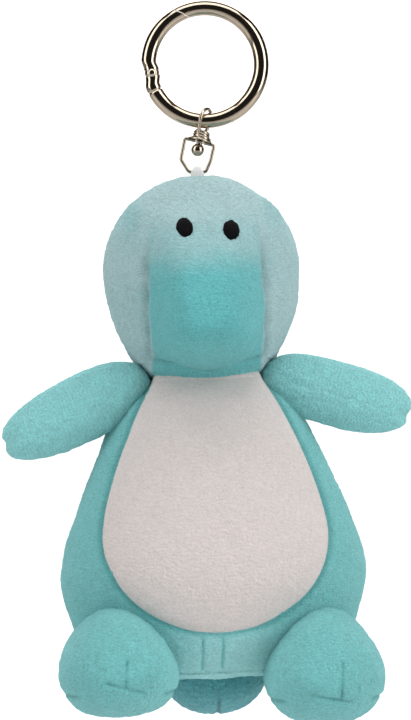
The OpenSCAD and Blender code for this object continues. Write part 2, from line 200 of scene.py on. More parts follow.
def plating_wear_group():
    """Handling marks on plated metal: a cloudy haze on its roughness and fine pits as a height."""
    group = bpy.data.node_groups.new("plating_wear", "ShaderNodeTree")
    socket(group, "Place", "NodeSocketVector", "INPUT")
    socket(group, "Polish", "NodeSocketFloat", "INPUT", 0.1)
    socket(group, "Wear", "NodeSocketFloat", "INPUT", 0.1)
    socket(group, "Roughness", "NodeSocketFloat", "OUTPUT")
    socket(group, "Height", "NodeSocketFloat", "OUTPUT")
    come = group.nodes.new("NodeGroupInput").outputs
    haze = linked(group, "ShaderNodeTexNoise", Vector=come["Place"], Scale=260.0, Detail=4.0)
    pits = linked(group, "ShaderNodeTexNoise", Vector=come["Place"], Scale=2400.0, Detail=3.0)
    cloudy = linked(group, "ShaderNodeMapRange", Value=haze.outputs["Fac"], From_Min=0.4,
                    From_Max=0.75)
    worn = sums(group, "MULTIPLY", cloudy.outputs["Result"], come["Wear"])
    total = sums(group, "ADD", worn, come["Polish"])
    linked(group, "NodeGroupOutput", Roughness=total, Height=pits.outputs["Fac"])
    return group


def plated_metal(name, colour, polish, wear):
    """Polished plating: metal colour, with the wear group on its roughness and a faint bump."""
    material = bpy.data.materials.new(name)
    material.use_nodes = True
    tree = material.node_tree
    shader = tree.nodes["Principled BSDF"]
    shader.inputs["Base Color"].default_value = (*colour, 1)
    shader.inputs["Metallic"].default_value = 1
    place = tree.nodes.new("ShaderNodeTexCoord")
    marks = tree.nodes.new("ShaderNodeGroup")
    marks.node_tree = plating_wear
    marks.inputs["Polish"].default_value = polish
    marks.inputs["Wear"].default_value = wear
    tree.links.new(place.outputs["Object"], marks.inputs["Place"])
    bump = linked(tree, "ShaderNodeBump", Height=marks.outputs["Height"], Strength=0.06,
                  Distance=0.00004)
    tree.links.new(marks.outputs["Roughness"], shader.inputs["Roughness"])
    tree.links.new(bump.outputs["Normal"], shader.inputs["Normal"])
    return material


def grid_faces(rows, cols, start=0):
    """Quads between the rows of a grid that closes round, and a fan on each end."""
    at = np.arange(rows * cols).reshape(rows, cols) + start
    beside = np.roll(at, -1, axis=1)
    first, last = start + rows * cols, start + rows * cols + 1
    quads = np.stack([at[:-1], at[1:], beside[1:], beside[:-1]], -1).reshape(-1, 4).tolist()
    top = [[first, a, b] for a, b in zip(at[0].tolist(), beside[0].tolist())]
    bottom = [[last, b, a] for a, b in zip(at[-1].tolist(), beside[-1].tolist())]
    return quads + top + bottom


def closed_shell(grid, start=0):
    """Points and faces of a grid of points with its ends closed, faces turned outwards."""
    rows, cols = grid.shape[:2]
    points = np.concatenate([grid.reshape(-1, 3), [grid[0].mean(0), grid[-1].mean(0)]])
    faces = grid_faces(rows, cols, start)
    a, b, c = grid[:-1], grid[1:], np.roll(grid[1:], -1, axis=1)
    middle = points.mean(0)
    volume = np.einsum("ijk,ijk->", a - middle, np.cross(b - middle, c - middle))
    if volume < 0:
        faces = [face[::-1] for face in faces]
    return points, faces


def shells(name, grids, material):
    """One piece of several closed shells."""
    points, faces, start = [], [], 0
    for grid in grids:
        its_points, its_faces = closed_shell(grid, start)
        points.append(its_points)
        faces += its_faces
        start += len(its_points)
    return add_piece(name, np.concatenate(points), faces, material)


def unit(vectors):
    """The same directions with length one."""
    return vectors / np.maximum(np.linalg.norm(vectors, axis=-1, keepdims=True), 1e-12)


def swept(path, radius, side, sides=32, dome=0.35):
    """Round section carried along a path. The section stands square to the path and its first
    direction lies nearest to side; each end closes with a quarter-ellipse dome."""
    path = np.asarray(path, float)
    radius = np.broadcast_to(np.asarray(radius, float), (len(path),))
    along = unit(np.gradient(path, axis=0))
    close = np.sin(np.linspace(0, math.pi / 2, 7))[:-1]
    shrink = np.sqrt(1 - close ** 2)
    head = path[0] - along[0] * (close[::-1] * radius[0] * dome)[:, None]
    tail = path[-1] + along[-1] * (close * radius[-1] * dome)[:, None]
    path = np.concatenate([head[:-1], path, tail[1:]])
    along = np.concatenate([np.repeat(along[:1], 5, 0), along, np.repeat(along[-1:], 5, 0)])
    radius = np.concatenate([radius[0] * shrink[::-1][:-1], radius, radius[-1] * shrink[1:]])
    across = unit(np.asarray(side, float) - along * (along @ np.asarray(side, float))[:, None])
    up = np.cross(along, across)
    turn = np.linspace(0, 2 * math.pi, sides, endpoint=False)[None, :, None]
    ring = np.cos(turn) * across[:, None] + np.sin(turn) * up[:, None]
    return path[:, None] + radius[:, None, None] * ring


def smoothstep(low, high, value):
    """0 below low, 1 above high, with an eased rise between."""
    t = np.clip((value - low) / (high - low), 0, 1)
    return t * t * (3 - 2 * t)


def ring_wire(start, end, rows, sides=48):
    """Wire of the ring between two directions, one for each point round its section, so that an
    end may be cut on the slant. The wire moves in to the knuckle near the hinge, has a groove
    beside it, and its ends close flat with a small rounding."""
    turn = np.linspace(0, 2 * math.pi, sides, endpoint=False)
    share = np.concatenate([[0, 0, 0], np.linspace(0, 1, rows), [1, 1, 1]])[:, None]
    close = np.array([0.4, 0.9, 0.97])
    size = np.concatenate([close, np.ones(rows), close[::-1]])[:, None]
    r = RING_R + WIRE_R * size * np.cos(turn)
    direction = start(r) * (1 - share) + end(r) * share
    off = smoothstep(14, 4, np.abs(direction - HINGE_DIR))
    groove = GROOVE_DEPTH * np.exp(-((direction - GROOVE_DIR) / GROOVE_WIDE) ** 4)
    thick = (WIRE_R - groove) * size
    r = RING_R - (RING_R - HINGE_R) * off + thick * np.cos(turn)
    angle = np.radians(direction)
    return np.stack([r * np.cos(angle), thick * np.sin(turn), r * np.sin(angle)], -1)


def latch_cut(reach_from_hinge):
    """Direction in which a point r from the ring's centre is that far from the hinge pin."""
    def direction(r):
        cosine = (r ** 2 + HINGE_R ** 2 - reach_from_hinge ** 2) / (2 * r * HINGE_R)
        return HINGE_DIR - np.degrees(np.arccos(cosine))
    return direction


def lathed(outline, foot, axis, sides=40):
    """Outline of (radius, height) pairs turned about an axis through foot."""
    outline = np.asarray(outline, float)
    axis = unit(np.asarray(axis, float))
    across = unit(np.cross(axis, [0.31, 0.87, 0.4]))
    up = np.cross(axis, across)
    turn = np.linspace(0, 2 * math.pi, sides, endpoint=False)[None, :, None]
    ring = np.cos(turn) * across + np.sin(turn) * up
    return foot + outline[:, 1, None, None] * axis + outline[:, 0, None, None] * ring


def ring_pieces():
    """Fixed part with its tongue, gate with its two knuckle cheeks, and the rivet's two heads."""
    plating = plated_metal("pale_gold_plating", PLATE_COLOUR, 0.09, 0.05)
    rivet_finish = plated_metal("rivet_plating", RIVET_COLOUR, 0.12, 0.08)
    hinge = HINGE_R * np.array([math.cos(math.radians(HINGE_DIR)), 0,
                                math.sin(math.radians(HINGE_DIR))])
    pin = np.array([0.0, 1.0, 0.0])

    spread = math.radians(HINGE_DIR - LATCH_DIR)
    latch = math.sqrt(RING_R ** 2 + HINGE_R ** 2 - 2 * RING_R * HINGE_R * math.cos(spread))
    gate = ring_wire(latch_cut(latch), lambda r: HINGE_DIR - 3 + 0 * r, 110)
    beyond = latch_cut(latch + LATCH_GAP)
    fixed = ring_wire(lambda r: HINGE_DIR + 3 + 0 * r, lambda r: 360 + beyond(r), 460)

    swing = np.linspace(0, math.pi / 2, 16)
    low = TONGUE_HALF + 0.12
    start = math.asin(low / KNUCKLE_R)
    arc = start + (math.pi / 2 - start) * np.sin(swing)
    cheek = np.stack([KNUCKLE_R * np.cos(arc), KNUCKLE_R * np.sin(arc)], -1)[:-1]
    cheek = np.concatenate([[[0.3, low], [cheek[0, 0] - 0.08, low]], cheek])
    cheeks = [lathed(cheek, hinge, pin * side) for side in (-1, 1)]
    tongue = lathed([[0.4, -TONGUE_HALF], [TONGUE_R, -TONGUE_HALF], [TONGUE_R, TONGUE_HALF],
                     [0.4, TONGUE_HALF]], hinge, pin)

    ring_piece = shells("ring_fixed_part", [fixed, tongue], plating)
    gate_piece = shells("ring_swing_gate", [gate, *cheeks], plating)
    dome = np.stack([RIVET_R * np.cos(swing), KNUCKLE_R - 0.12 + 0.5 * np.sin(swing)], -1)[:-1]
    dome = np.concatenate([[[0.3, KNUCKLE_R - 0.5], [RIVET_R, KNUCKLE_R - 0.5]], dome])
    heads = [lathed(dome, hinge, pin * side) for side in (-1, 1)]
    rivet_piece = shells("gate_rivet_heads", heads, rivet_finish)
    for piece, body, node, slot in (
        (ring_piece, "ring", "ring_body", "ring_metal"),
        (gate_piece, "gate", "ring_gate", "ring_metal"),
        (rivet_piece, "gate", "gate_pin", "pin_metal"),
    ):
        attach(piece, body)
        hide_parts(node)
    steel = plated_metal("spring_steel", STEEL_COLOUR, 0.3, 0.1)
    for node in ("gate_spring", "gate_plunger"):
        frame["nodes"][node].data.materials.clear()
        frame["nodes"][node].data.materials.append(steel)


plating_wear = plating_wear_group()
ring_pieces()


# ---- Swivel: a wire eye round the ring, wound into a flared neck, with a ball-headed rivet
# that holds the bail. The bail is the same plated wire, bent into a stirrup for the ribbon.

SWIVEL_LEAN = 14.0
SWIVEL_WIRE_R = 0.45
EYE_R = 2.9
EYE_TURN = 65.0
EYE_UP = 0.2
LEG_DOWN = 3.2
LEG_IN = 0.7
BELL = [[0.3, -2.35], [1.35, -2.4], [1.75, -2.6], [1.95, -2.95], [2.0, -3.4], [2.12, -3.9],
        [2.5, -4.35], [2.86, -4.65], [3.0, -4.85], [2.96, -4.98], [2.72, -5.0], [2.35, -4.8],
        [1.2, -4.5], [0.3, -4.5]]
WRAP_TURNS = 1.35
PLATE_TOP = 5.15
PLATE_LOW = 5.70
PLATE_R = 1.8
BALL_R = 1.65
BALL_AT = 7.47
STEM_R = 0.75
BAIL_HALF = 3.75
BAR_Z = -26.9
BAIL_BENDS = [[-6.0, -23.8], [-4.0, BAR_Z], [0.2, BAR_Z], [1.4, -24.2]]
SWIVEL_COLOUR = (0.40, 0.345, 0.27)


def down_swivel(points):
    """Turns points from the swivel's upright axis to where it leans from the ring."""
    lean = math.radians(SWIVEL_LEAN)
    x, y, z = np.moveaxis(np.asarray(points, float), -1, 0)
    turned = [x * math.cos(lean) + z * math.sin(lean), y, z * math.cos(lean) - x * math.sin(lean)]
    return np.stack(turned, -1) + [0, 0, -RING_R]


def rounded_route(corners, radius, steps=8):
    """Straight runs between corners, with each inner corner cut to a quadratic curve that
    starts and ends radius away from it."""
    corners = np.asarray(corners, float)
    route = [corners[:1]]
    for before, here, after in zip(corners[:-2], corners[1:-1], corners[2:]):
        enter = here + unit(before - here) * radius
        leave = here + unit(after - here) * radius
        t = np.linspace(0, 1, steps)[:, None]
        route.append((1 - t) ** 2 * enter + 2 * t * (1 - t) * here + t ** 2 * leave)
    route.append(corners[-1:])
    return np.concatenate(route)


def spaced(path, count):
    """The same path cut into equal lengths."""
    steps = np.linalg.norm(np.diff(path, axis=0), axis=1)
    keep = np.concatenate([[True], steps > 1e-9])
    path = path[keep]
    length = np.concatenate([[0], np.cumsum(np.linalg.norm(np.diff(path, axis=0), axis=1))])
    at = np.linspace(0, length[-1], count)
    return np.stack([np.interp(at, length, path[:, k]) for k in range(3)], -1)


def swivel_pieces():
    """Eye loop, wound bell, rivet and bail."""
    finish = plated_metal("swivel_plating", SWIVEL_COLOUR, 0.12, 0.08)
    turn = math.radians(EYE_TURN)
    across = np.array([math.cos(turn), math.sin(turn), 0])
    up = np.array([0.0, 0.0, 1.0])
    arc = np.linspace(0, math.pi, 40)[:, None]
    crown = EYE_R * (np.cos(arc) * across + np.sin(arc) * up) + EYE_UP * up
    legs = [side * EYE_R * LEG_IN * across - LEG_DOWN * up for side in (1, -1)]
    loop = spaced(np.concatenate([[legs[0]], crown, [legs[1]]]), 90)
    eye_loop = swept(down_swivel(loop), SWIVEL_WIRE_R, down_swivel(np.cross(across, up)) +
                     [0, 0, RING_R], 20)

    bell = down_swivel(lathed(BELL, np.zeros(3), up, 72))
    wraps = []
    for first in (0.0, math.pi):
        t = np.linspace(0, 1, 60)
        angle = first + turn + 2 * math.pi * WRAP_TURNS * t
        down = -2.75 - 1.75 * t
        r = np.interp(-down, [2.6, 3.4, 3.9, 4.35, 4.7], [1.6, 1.75, 1.85, 2.2, 2.55])
        wraps.append(np.stack([r * np.cos(angle), r * np.sin(angle), down], -1))
    lean_axis = down_swivel(up) + [0, 0, RING_R]
    coils = [swept(down_swivel(wrap), 0.42, lean_axis, 16) for wrap in wraps]
    eye_piece = shells("swivel_wound_eye", [eye_loop, bell, *coils], finish)

    fall = np.linspace(-1, 1, 40)
    ball = np.stack([BALL_R * np.cos(fall * 1.45), -BALL_AT - BALL_R * np.sin(fall * 1.45)], -1)
    stem = [[STEM_R, -4.4], [STEM_R, -BALL_AT]]
    rivet = [down_swivel(lathed(outline, np.zeros(3), up)) for outline in (ball, stem)]
    rivet_piece = shells("swivel_ball_rivet", rivet, finish)

    middle = -(PLATE_TOP + PLATE_LOW) / 2
    ends = down_swivel([[side * BAIL_HALF, 0, middle] for side in (-1, 1)])
    bends = [[x, 0, z] for x, z in BAIL_BENDS]
    inner = down_swivel([[side * 1.2, 0, middle] for side in (-1, 1)])
    corners = np.array([inner[0], ends[0], *bends, ends[1], inner[1]])
    route = spaced(rounded_route(corners, 0.55), 180)
    wire = swept(route, SWIVEL_WIRE_R, [0, 1, 0], 20)
    rim = 0.12
    half = (PLATE_LOW - PLATE_TOP) / 2
    disc = [[0.81, middle - half], [PLATE_R - rim, middle - half], [PLATE_R, middle - half + rim],
            [PLATE_R, middle + half - rim], [PLATE_R - rim, middle + half], [0.81, middle + half]]
    plate = down_swivel(lathed(disc, np.zeros(3), up))
    bail_piece = shells("swivel_bail_stirrup", [wire, plate], finish)
    for piece, body, node in (
        (eye_piece, "eye", "swivel_eye"),
        (rivet_piece, "eye", "swivel_rivet"),
        (bail_piece, "bail", "swivel_bail"),
    ):
        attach(piece, body)
        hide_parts(node)


swivel_pieces()


# ---- Ribbon: a doubled white satin ribbon round the bail's lower bar.
# Its two ends are sewn into the top of the head.

HANG = np.array(next(j for j in frame["joints"] if j["name"] == "toy_swing")["pos_m"]) / MM
PLUSH_LEAN = 2.3
PLUSH_TURN = 3.0
RIBBON_HALF = 1.4
RIBBON_THICK = 0.85
RIBBON_IN = 0.65
RIBBON_DOWN = 1.9
RIBBON_PITCH = 0.32
RIBBON_GATHER = 0.5


def toy(points, directions=False):
    """Turns points from the toy's own frame, its top at the lower bar, to where it hangs."""
    turn, lean = math.radians(PLUSH_TURN), -math.radians(PLUSH_LEAN)
    x, y, z = np.moveaxis(np.asarray(points, float), -1, 0)
    x, y = x * math.cos(turn) - y * math.sin(turn), x * math.sin(turn) + y * math.cos(turn)
    x, z = x * math.cos(lean) + z * math.sin(lean), z * math.cos(lean) - x * math.sin(lean)
    return np.stack([x, y, z], -1) + (0 if directions else HANG)


def ribbon_weave_material():
    """White satin: fine crosswise ribs with lengthwise threads, soft sheen, and painted shade in the low parts of
    the weave.
    """
    material = bpy.data.materials.new("white_satin_ribbon")
    material.use_nodes = True
    tree = material.node_tree
    shader = tree.nodes["Principled BSDF"]
    shader.inputs["Roughness"].default_value = 0.55
    shader.inputs["Sheen Weight"].default_value = 0.3
    place = tree.nodes.new("ShaderNodeTexCoord").outputs["Object"]
    ribs = linked(tree, "ShaderNodeTexWave", Vector=place, Scale=1400.0, Distortion=1.2)
    ribs.bands_direction = "Z"
    threads = linked(tree, "ShaderNodeTexWave", Vector=place, Scale=900.0, Distortion=0.8)
    weave = sums(tree, "MULTIPLY", ribs.outputs["Fac"], threads.outputs["Fac"])
    # Painted shade: the low parts of the weave are painted grey and the raised ribs near white.
    shade = tree.nodes.new("ShaderNodeValToRGB")
    shade.color_ramp.elements[0].color = (0.66, 0.66, 0.64, 1)
    shade.color_ramp.elements[1].color = (0.90, 0.90, 0.88, 1)
    tree.links.new(weave, shade.inputs["Fac"])
    bump = linked(tree, "ShaderNodeBump", Height=weave, Strength=0.5, Distance=0.00008)
    tree.links.new(shade.outputs["Color"], shader.inputs["Base Color"])
    tree.links.new(bump.outputs["Normal"], shader.inputs["Normal"])
    return material


def ribbon_piece():
    """Flat section with rounded edges, carried up, half round the bar, where it is gathered
    narrower, and down again. Small ripples across it stand for the ribs of the weave."""
    middle = RIBBON_IN + RIBBON_THICK / 2
    arc = np.linspace(0, math.pi, 40)
    down = np.linspace(-RIBBON_DOWN, 0, 14)[:-1]
    y = np.concatenate([0 * down + middle, middle * np.cos(arc), 0 * down - middle])
    z = np.concatenate([down, middle * np.sin(arc), down[::-1]])
    path = np.stack([0 * y, y, z], -1)
    along = unit(np.gradient(path, axis=0))
    out = np.cross([1.0, 0, 0], along)
    length = np.concatenate([[0], np.cumsum(np.linalg.norm(np.diff(path, axis=0), axis=1))])
    turn = np.linspace(0, 2 * math.pi, 56, endpoint=False)
    across = np.sign(np.cos(turn)) * np.abs(np.cos(turn)) ** 0.45 * RIBBON_HALF
    thick = np.sign(np.sin(turn)) * np.abs(np.sin(turn)) ** 0.7 * RIBBON_THICK / 2
    ripple = 1 + 0.05 * np.cos(2 * math.pi * length / RIBBON_PITCH)[:, None]
    spread = 1.22 - RIBBON_GATHER * smoothstep(-0.6, middle, z)[:, None]
    grid = (path[:, None] + (spread * across)[:, :, None] * np.array([1.0, 0, 0])
            + (thick[None] * ripple)[:, :, None] * out[:, None])
    piece = shells("ribbon_loop_satin", [grid + HANG], ribbon_weave_material())
    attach(piece, "toy")
    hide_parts("ribbon_loop")


ribbon_piece()


# ---- Head: short-pile plush sewn from two cheeks and one long panel, and stuffed firmly.
# The panel runs over the crown and down the blunt muzzle, where its colour is painted a deeper teal: painted
# shade of the nap, with painted sheen keeping the crown pale.

HEAD_W = 24.5
HEAD_DEPTH = 20.5
HEAD_TOP = 0.95
HEAD_MID = 25.0
HEAD_LOW = 56.7
HEAD_TUCK = 55.0
MUZZLE_W = 13.5
MUZZLE_REACH = 38.5
MUZZLE_MID = 37.0
MUZZLE_RISE = 30.0
MUZZLE_FALL = 12.4
MUZZLE_POWER = 3.2
MUZZLE_SMILE = 2.0
NAPE_SEAM = 6.9
TEMPLE = (18.0, 8.5)
EYE_MIDDLE = {"eye_left": (-4.9, 14.3), "eye_right": (6.5, 15.4)}
HEAD_ROWS, HEAD_COLS = 280, 330
HEAD_NAP = (0.58, 0.66, 0.7)
PALE_AQUA = (184, 218, 221)
# Painted shade of the nap: the deeper teal of the muzzle, against the pale crown.
MUZZLE_SHADED_TEAL = (106, 200, 203)
SEAM_DEPTH = 0.55
NAP_DEPTH = 0.17
LUMP_DEPTH = 0.3
FILL_CAP = 1.1


def srgb(colour, gain=1.0):
    """Linear light of a colour given in 0 to 255 steps, made lighter or darker by gain."""
    value = np.array(colour) / 255
    light = np.where(value <= 0.04045, value / 12.92, ((value + 0.055) / 1.055) ** 2.4)
    return (*np.clip(light * gain, 0, 1).tolist(), 1)


def mixed(tree, first, second, factor, kind="MIX"):
    """Colour output of a Mix node."""
    node = tree.nodes.new("ShaderNodeMix")
    node.data_type = "RGBA"
    node.blend_type = kind
    for name, value in (("Factor_Float", factor), ("A_Color", first), ("B_Color", second)):
        entry = next(i for i in node.inputs if i.identifier == name)
        if isinstance(value, bpy.types.NodeSocket):
            tree.links.new(value, entry)
        else:
            entry.default_value = value
    return next(o for o in node.outputs if o.identifier == "Result_Color")


def short_pile_group():
    """Brushed pile: short streaks, curled rows and soft clumps give a colour between the shaded and the lit copy
    of the cloth, painted shade between the fibres and painted highlight on their tips, and with fine tips a
    height. Place is in lengths of one streak; the seam input paints shade into the cloth where it dips."""
    group = bpy.data.node_groups.new("short_pile", "ShaderNodeTree")
    socket(group, "Place", "NodeSocketVector", "INPUT")
    socket(group, "Lit", "NodeSocketColor", "INPUT", (0.8, 0.8, 0.8, 1))
    socket(group, "Shaded", "NodeSocketColor", "INPUT", (0.4, 0.4, 0.4, 1))
    socket(group, "Seam", "NodeSocketFloat", "INPUT", 0.0)
    socket(group, "Color", "NodeSocketColor", "OUTPUT")
    socket(group, "Height", "NodeSocketFloat", "OUTPUT")
    come = group.nodes.new("NodeGroupInput").outputs
    streaks = linked(group, "ShaderNodeTexNoise", Vector=come["Place"], Scale=1.0, Detail=5.0,
                     Roughness=0.68, Distortion=0.9).outputs["Fac"]
    clumps = linked(group, "ShaderNodeTexNoise", Vector=come["Place"], Scale=0.2,
                    Detail=3.0).outputs["Fac"]
    tips = linked(group, "ShaderNodeTexNoise", Vector=come["Place"], Scale=2.7,
                  Detail=2.0).outputs["Fac"]
    curls = linked(group, "ShaderNodeTexWave", Vector=come["Place"], Scale=0.31, Distortion=16.0,
                   Detail=3.0, Detail_Scale=0.55, Detail_Roughness=0.75)
    curls.bands_direction = "Z"
    brushed = sums(group, "ADD", sums(group, "MULTIPLY", streaks, 2.2),
                   sums(group, "MULTIPLY", clumps, 0.4))
    both = sums(group, "ADD", brushed, sums(group, "MULTIPLY", curls.outputs["Fac"], 0.3))
    shade = sums(group, "SUBTRACT", both, 0.95)
    cloth = mixed(group, come["Shaded"], come["Lit"], shade)
    # Painted shade: the cloth is darkened by its shaded copy where the seam mask dips it into a crease.
    crease_shaded = mixed(group, cloth, come["Shaded"], 1.0, "MULTIPLY")
    crease_shade_weight = sums(group, "MULTIPLY", come["Seam"], 0.95)
    height = sums(group, "ADD", both, sums(group, "MULTIPLY", tips, 0.7))
    linked(group, "NodeGroupOutput", Color=mixed(group, cloth, crease_shaded, crease_shade_weight), Height=height)
    return group


def plush(name, colour, light_shade_colour, nap, turn=(0, 0, 0), depth=0.0006, lit_shaded_gain=(1.16, 0.74)):
    """Plush cloth whose streaks lie along the longest side of nap, a size in millimetres turned by turn degrees.
    Points with tone 1 take the second colour, which is painted sheen and shade on the head and painted light on
    the body's low front. The pile is painted between a lighter and a darker copy of each colour, as painted
    highlight on its tips and painted shade between them."""
    material = bpy.data.materials.new(name)
    material.use_nodes = True
    tree = material.node_tree
    shader = tree.nodes["Principled BSDF"]
    shader.inputs["Roughness"].default_value = 0.92
    shader.inputs["Specular IOR Level"].default_value = 0.25
    shader.inputs["Sheen Weight"].default_value = 0.2
    shader.inputs["Sheen Roughness"].default_value = 0.55
    place = tree.nodes.new("ShaderNodeTexCoord").outputs["Object"]
    lay = linked(tree, "ShaderNodeMapping", Vector=place, Rotation=np.radians(turn).tolist(),
                 Scale=[side * MM for side in nap])
    lay.vector_type = "TEXTURE"
    tone, seam = tree.nodes.new("ShaderNodeAttribute"), tree.nodes.new("ShaderNodeAttribute")
    tone.attribute_name, seam.attribute_name = "tone", "seam"
    # Painted highlight and shade of the pile: a lighter and a darker copy of each colour, set by the two gains.
    pale = mixed(tree, srgb(colour, lit_shaded_gain[0]), srgb(light_shade_colour, lit_shaded_gain[0]), tone.outputs["Fac"])
    deep = mixed(tree, srgb(colour, lit_shaded_gain[1]), srgb(light_shade_colour, lit_shaded_gain[1]), tone.outputs["Fac"])
    pile = tree.nodes.new("ShaderNodeGroup")
    pile.node_tree = short_pile
    for name_in, value in (("Place", lay.outputs["Vector"]), ("Lit", pale), ("Shaded", deep),
                           ("Seam", seam.outputs["Fac"])):
        tree.links.new(value, pile.inputs[name_in])
    bump = linked(tree, "ShaderNodeBump", Height=pile.outputs["Height"], Strength=0.75,
                  Distance=depth)
    tree.links.new(pile.outputs["Color"], shader.inputs["Base Color"])
    tree.links.new(bump.outputs["Normal"], shader.inputs["Normal"])
    return material


def reach(angle, a, b, power):
    """Superellipse: how far a curve of half widths a and b reaches in one direction."""
    return (np.abs(np.sin(angle) / a) ** power + np.abs(np.cos(angle) / b) ** power) ** (-1 / power)


def fullness(t, power):
    """Fullness of a rounded shape: 1 at t = 0, falling to 0 at t = -1 and t = 1."""
    return np.maximum(0, 1 - np.minimum(1, np.abs(t)) ** power) ** (1 / power)


def bell_of(distance, width):
    """1 at no distance, falling to 0 a few widths away."""
    return np.exp(-(distance / width) ** 2)


def lattice_noise(points, seed):
    """Every whole-numbered corner of space has its own hashed height between -1 and 1, and the
    heights are eased into each other between the corners."""
    low = np.floor(points).astype(np.int64)
    ease = points - low
    ease = ease * ease * (3 - 2 * ease)
    total = np.zeros(points.shape[:-1])
    for corner in np.ndindex(2, 2, 2):
        cell = low + corner
        key = cell[..., 0] * 73856093 ^ cell[..., 1] * 19349663 ^ cell[..., 2] * 83492791
        key = (key + seed * 7919) & 0x7FFFFFFF
        key = ((key ^ key >> 13) * 1274126177) & 0x7FFFFFFF
        height = ((key ^ key >> 16) & 0xFFFF) / 32767.5 - 1
        total += height * np.prod(np.where(corner, ease, 1 - ease), axis=-1)
    return total


def outward(grid):
    """Unit normals of a grid that closes round, pointing away from each row's middle."""
    normal = unit(np.cross(np.gradient(grid, axis=0), np.roll(grid, -1, 1) - np.roll(grid, 1, 1)))
    away = grid - grid.mean(axis=1, keepdims=True)
    return normal if (normal * away).sum() > 0 else -normal


def eased_between(fine, coarse, wrap):
    """Matrix that spreads coarse samples over fine ones with Catmull-Rom curves."""
    at = np.arange(fine) * (coarse / fine if wrap else (coarse - 1) / (fine - 1))
    low = np.minimum(np.floor(at).astype(int), coarse - 1)
    f = at - low
    weights = (
        (-f + 2 * f ** 2 - f ** 3) / 2,
        (2 - 5 * f ** 2 + 3 * f ** 3) / 2,
        (f + 4 * f ** 2 - 3 * f ** 3) / 2,
        (f ** 3 - f ** 2) / 2,
    )
    matrix = np.zeros((fine, coarse))
    for step, weight in enumerate(weights, -1):
        column = (low + step) % coarse if wrap else np.clip(low + step, 0, coarse - 1)
        np.add.at(matrix, (np.arange(fine), column), weight)
    return matrix


def filled(grid, held, cap=FILL_CAP):
    """How far each point moves when the cover is stuffed. A coarse copy, ten times the size, is
    blown up as cloth with its seams held, and its moves are spread back over the grid."""
    size, rows, cols = 10.0, 44, 44
    near = np.linspace(0, grid.shape[0] - 1, rows).round().astype(int)
    side = (np.arange(cols) * grid.shape[1] / cols).round().astype(int)
    start = grid[np.ix_(near, side)]
    points, faces = closed_shell(start * size)
    model = add_piece("cover_to_fill", points, faces)
    group = model.vertex_groups.new(name="held")
    weights = np.append(held[np.ix_(near, side)].ravel(), [1, 1])
    for index, weight in enumerate(np.clip(weights, 0, 1).tolist()):
        group.add([index], weight, "REPLACE")
    cloth = model.modifiers.new("filling", "CLOTH")
    cloth.settings.use_pressure = True
    cloth.settings.uniform_pressure_force = 4.0
    cloth.settings.vertex_group_mass = "held"
    cloth.settings.effector_weights.gravity = 0
    cloth.point_cache.frame_end = 20
    for step in range(1, 21):
        bpy.context.scene.frame_set(step)
    shown = model.evaluated_get(bpy.context.evaluated_depsgraph_get()).to_mesh()
    ends = np.empty(len(shown.vertices) * 3)
    shown.vertices.foreach_get("co", ends)
    bpy.data.objects.remove(model)
    bpy.context.scene.frame_set(1)
    moved = ends.reshape(-1, 3)[:-2].reshape(start.shape) / (MM * size) - start
    far = np.linalg.norm(moved, axis=-1, keepdims=True)
    moved *= cap * np.tanh(far / cap) / np.maximum(far, 1e-9)
    spread_rows = eased_between(grid.shape[0], rows, False)
    spread_cols = eased_between(grid.shape[1], cols, True)
    return np.einsum("ra,abk,cb->rck", spread_rows, moved, spread_cols)


def cover(name, grid, seam, tone, nap, material, seed, sewn=0.12):
    """Stuffed cover: the grid as filled, with its seams pulled in, soft lumps of filling, and a brushed nap whose
    streaks are longest along nap. The cloth moves less where it is sewn to something else. Keeps seam and tone on
    its points; the material paints shade into the cloth along the seams."""
    grid = grid + filled(grid, np.maximum(seam, sewn))
    normal = outward(grid)
    height = LUMP_DEPTH * lattice_noise(grid / 7.0, seed) + NAP_DEPTH * (
        lattice_noise(grid / nap, seed + 1) + 0.6 * lattice_noise(grid / (np.array(nap) * 0.5),
                                                                  seed + 2))
    height = height * (1 - 0.6 * seam) - SEAM_DEPTH * seam
    fade = np.minimum(np.arange(len(grid)), np.arange(len(grid))[::-1]) / 6.0
    height = height * np.minimum(1, fade)[:, None]
    grid = grid + normal * height[..., None]
    points, faces = closed_shell(grid)
    piece = add_piece(name, toy(points), faces, material)
    for label, values in (("seam", seam), ("tone", tone)):
        layer = piece.data.attributes.new(label, "FLOAT", "POINT")
        layer.data.foreach_set("value", np.append(values.ravel(), [values[0].mean(),
                                                                  values[-1].mean()]))
    return piece


def head_scale(d):
    """Size of the skull at height d below the bar: an ellipse, longer below its middle."""
    return fullness((d - HEAD_MID) / np.where(d < HEAD_MID, HEAD_MID - HEAD_TOP,
                                              HEAD_LOW - HEAD_MID), 2)


def head_reach(d, angle):
    """Skull ellipse and muzzle superellipse, joined by the seventh root of the sum of their
    seventh powers. The muzzle's reach swells gently down the forehead and ends blunt, a little
    higher at its sides. Gives the reach, and the muzzle's share of the skull's."""
    rise = fullness((MUZZLE_MID - d) / MUZZLE_RISE, 1.8)
    lifted = d + MUZZLE_SMILE * np.minimum(1, np.abs(angle) / 0.5) ** 2
    fall = fullness((lifted - MUZZLE_MID) / MUZZLE_FALL, 2.4)
    front = np.maximum(0.1, MUZZLE_REACH * np.where(d < MUZZLE_MID, rise, fall))
    skull = reach(angle, HEAD_W * head_scale(d), HEAD_DEPTH * head_scale(d), 2)
    muzzle = np.where(np.cos(angle) > 0, reach(angle, MUZZLE_W, front, MUZZLE_POWER), 0)
    return (skull ** 7 + muzzle ** 7) ** (1 / 7), muzzle / skull


def head_front(x, d):
    """Front of the head at x and d: the direction whose reach ends at x, found by turning to it
    again and again."""
    angle = np.arctan2(x, HEAD_DEPTH)
    for _ in range(20):
        angle = np.arcsin(np.clip(x / head_reach(d, angle)[0], -1, 1))
    return -head_reach(d, angle)[0] * np.cos(angle)


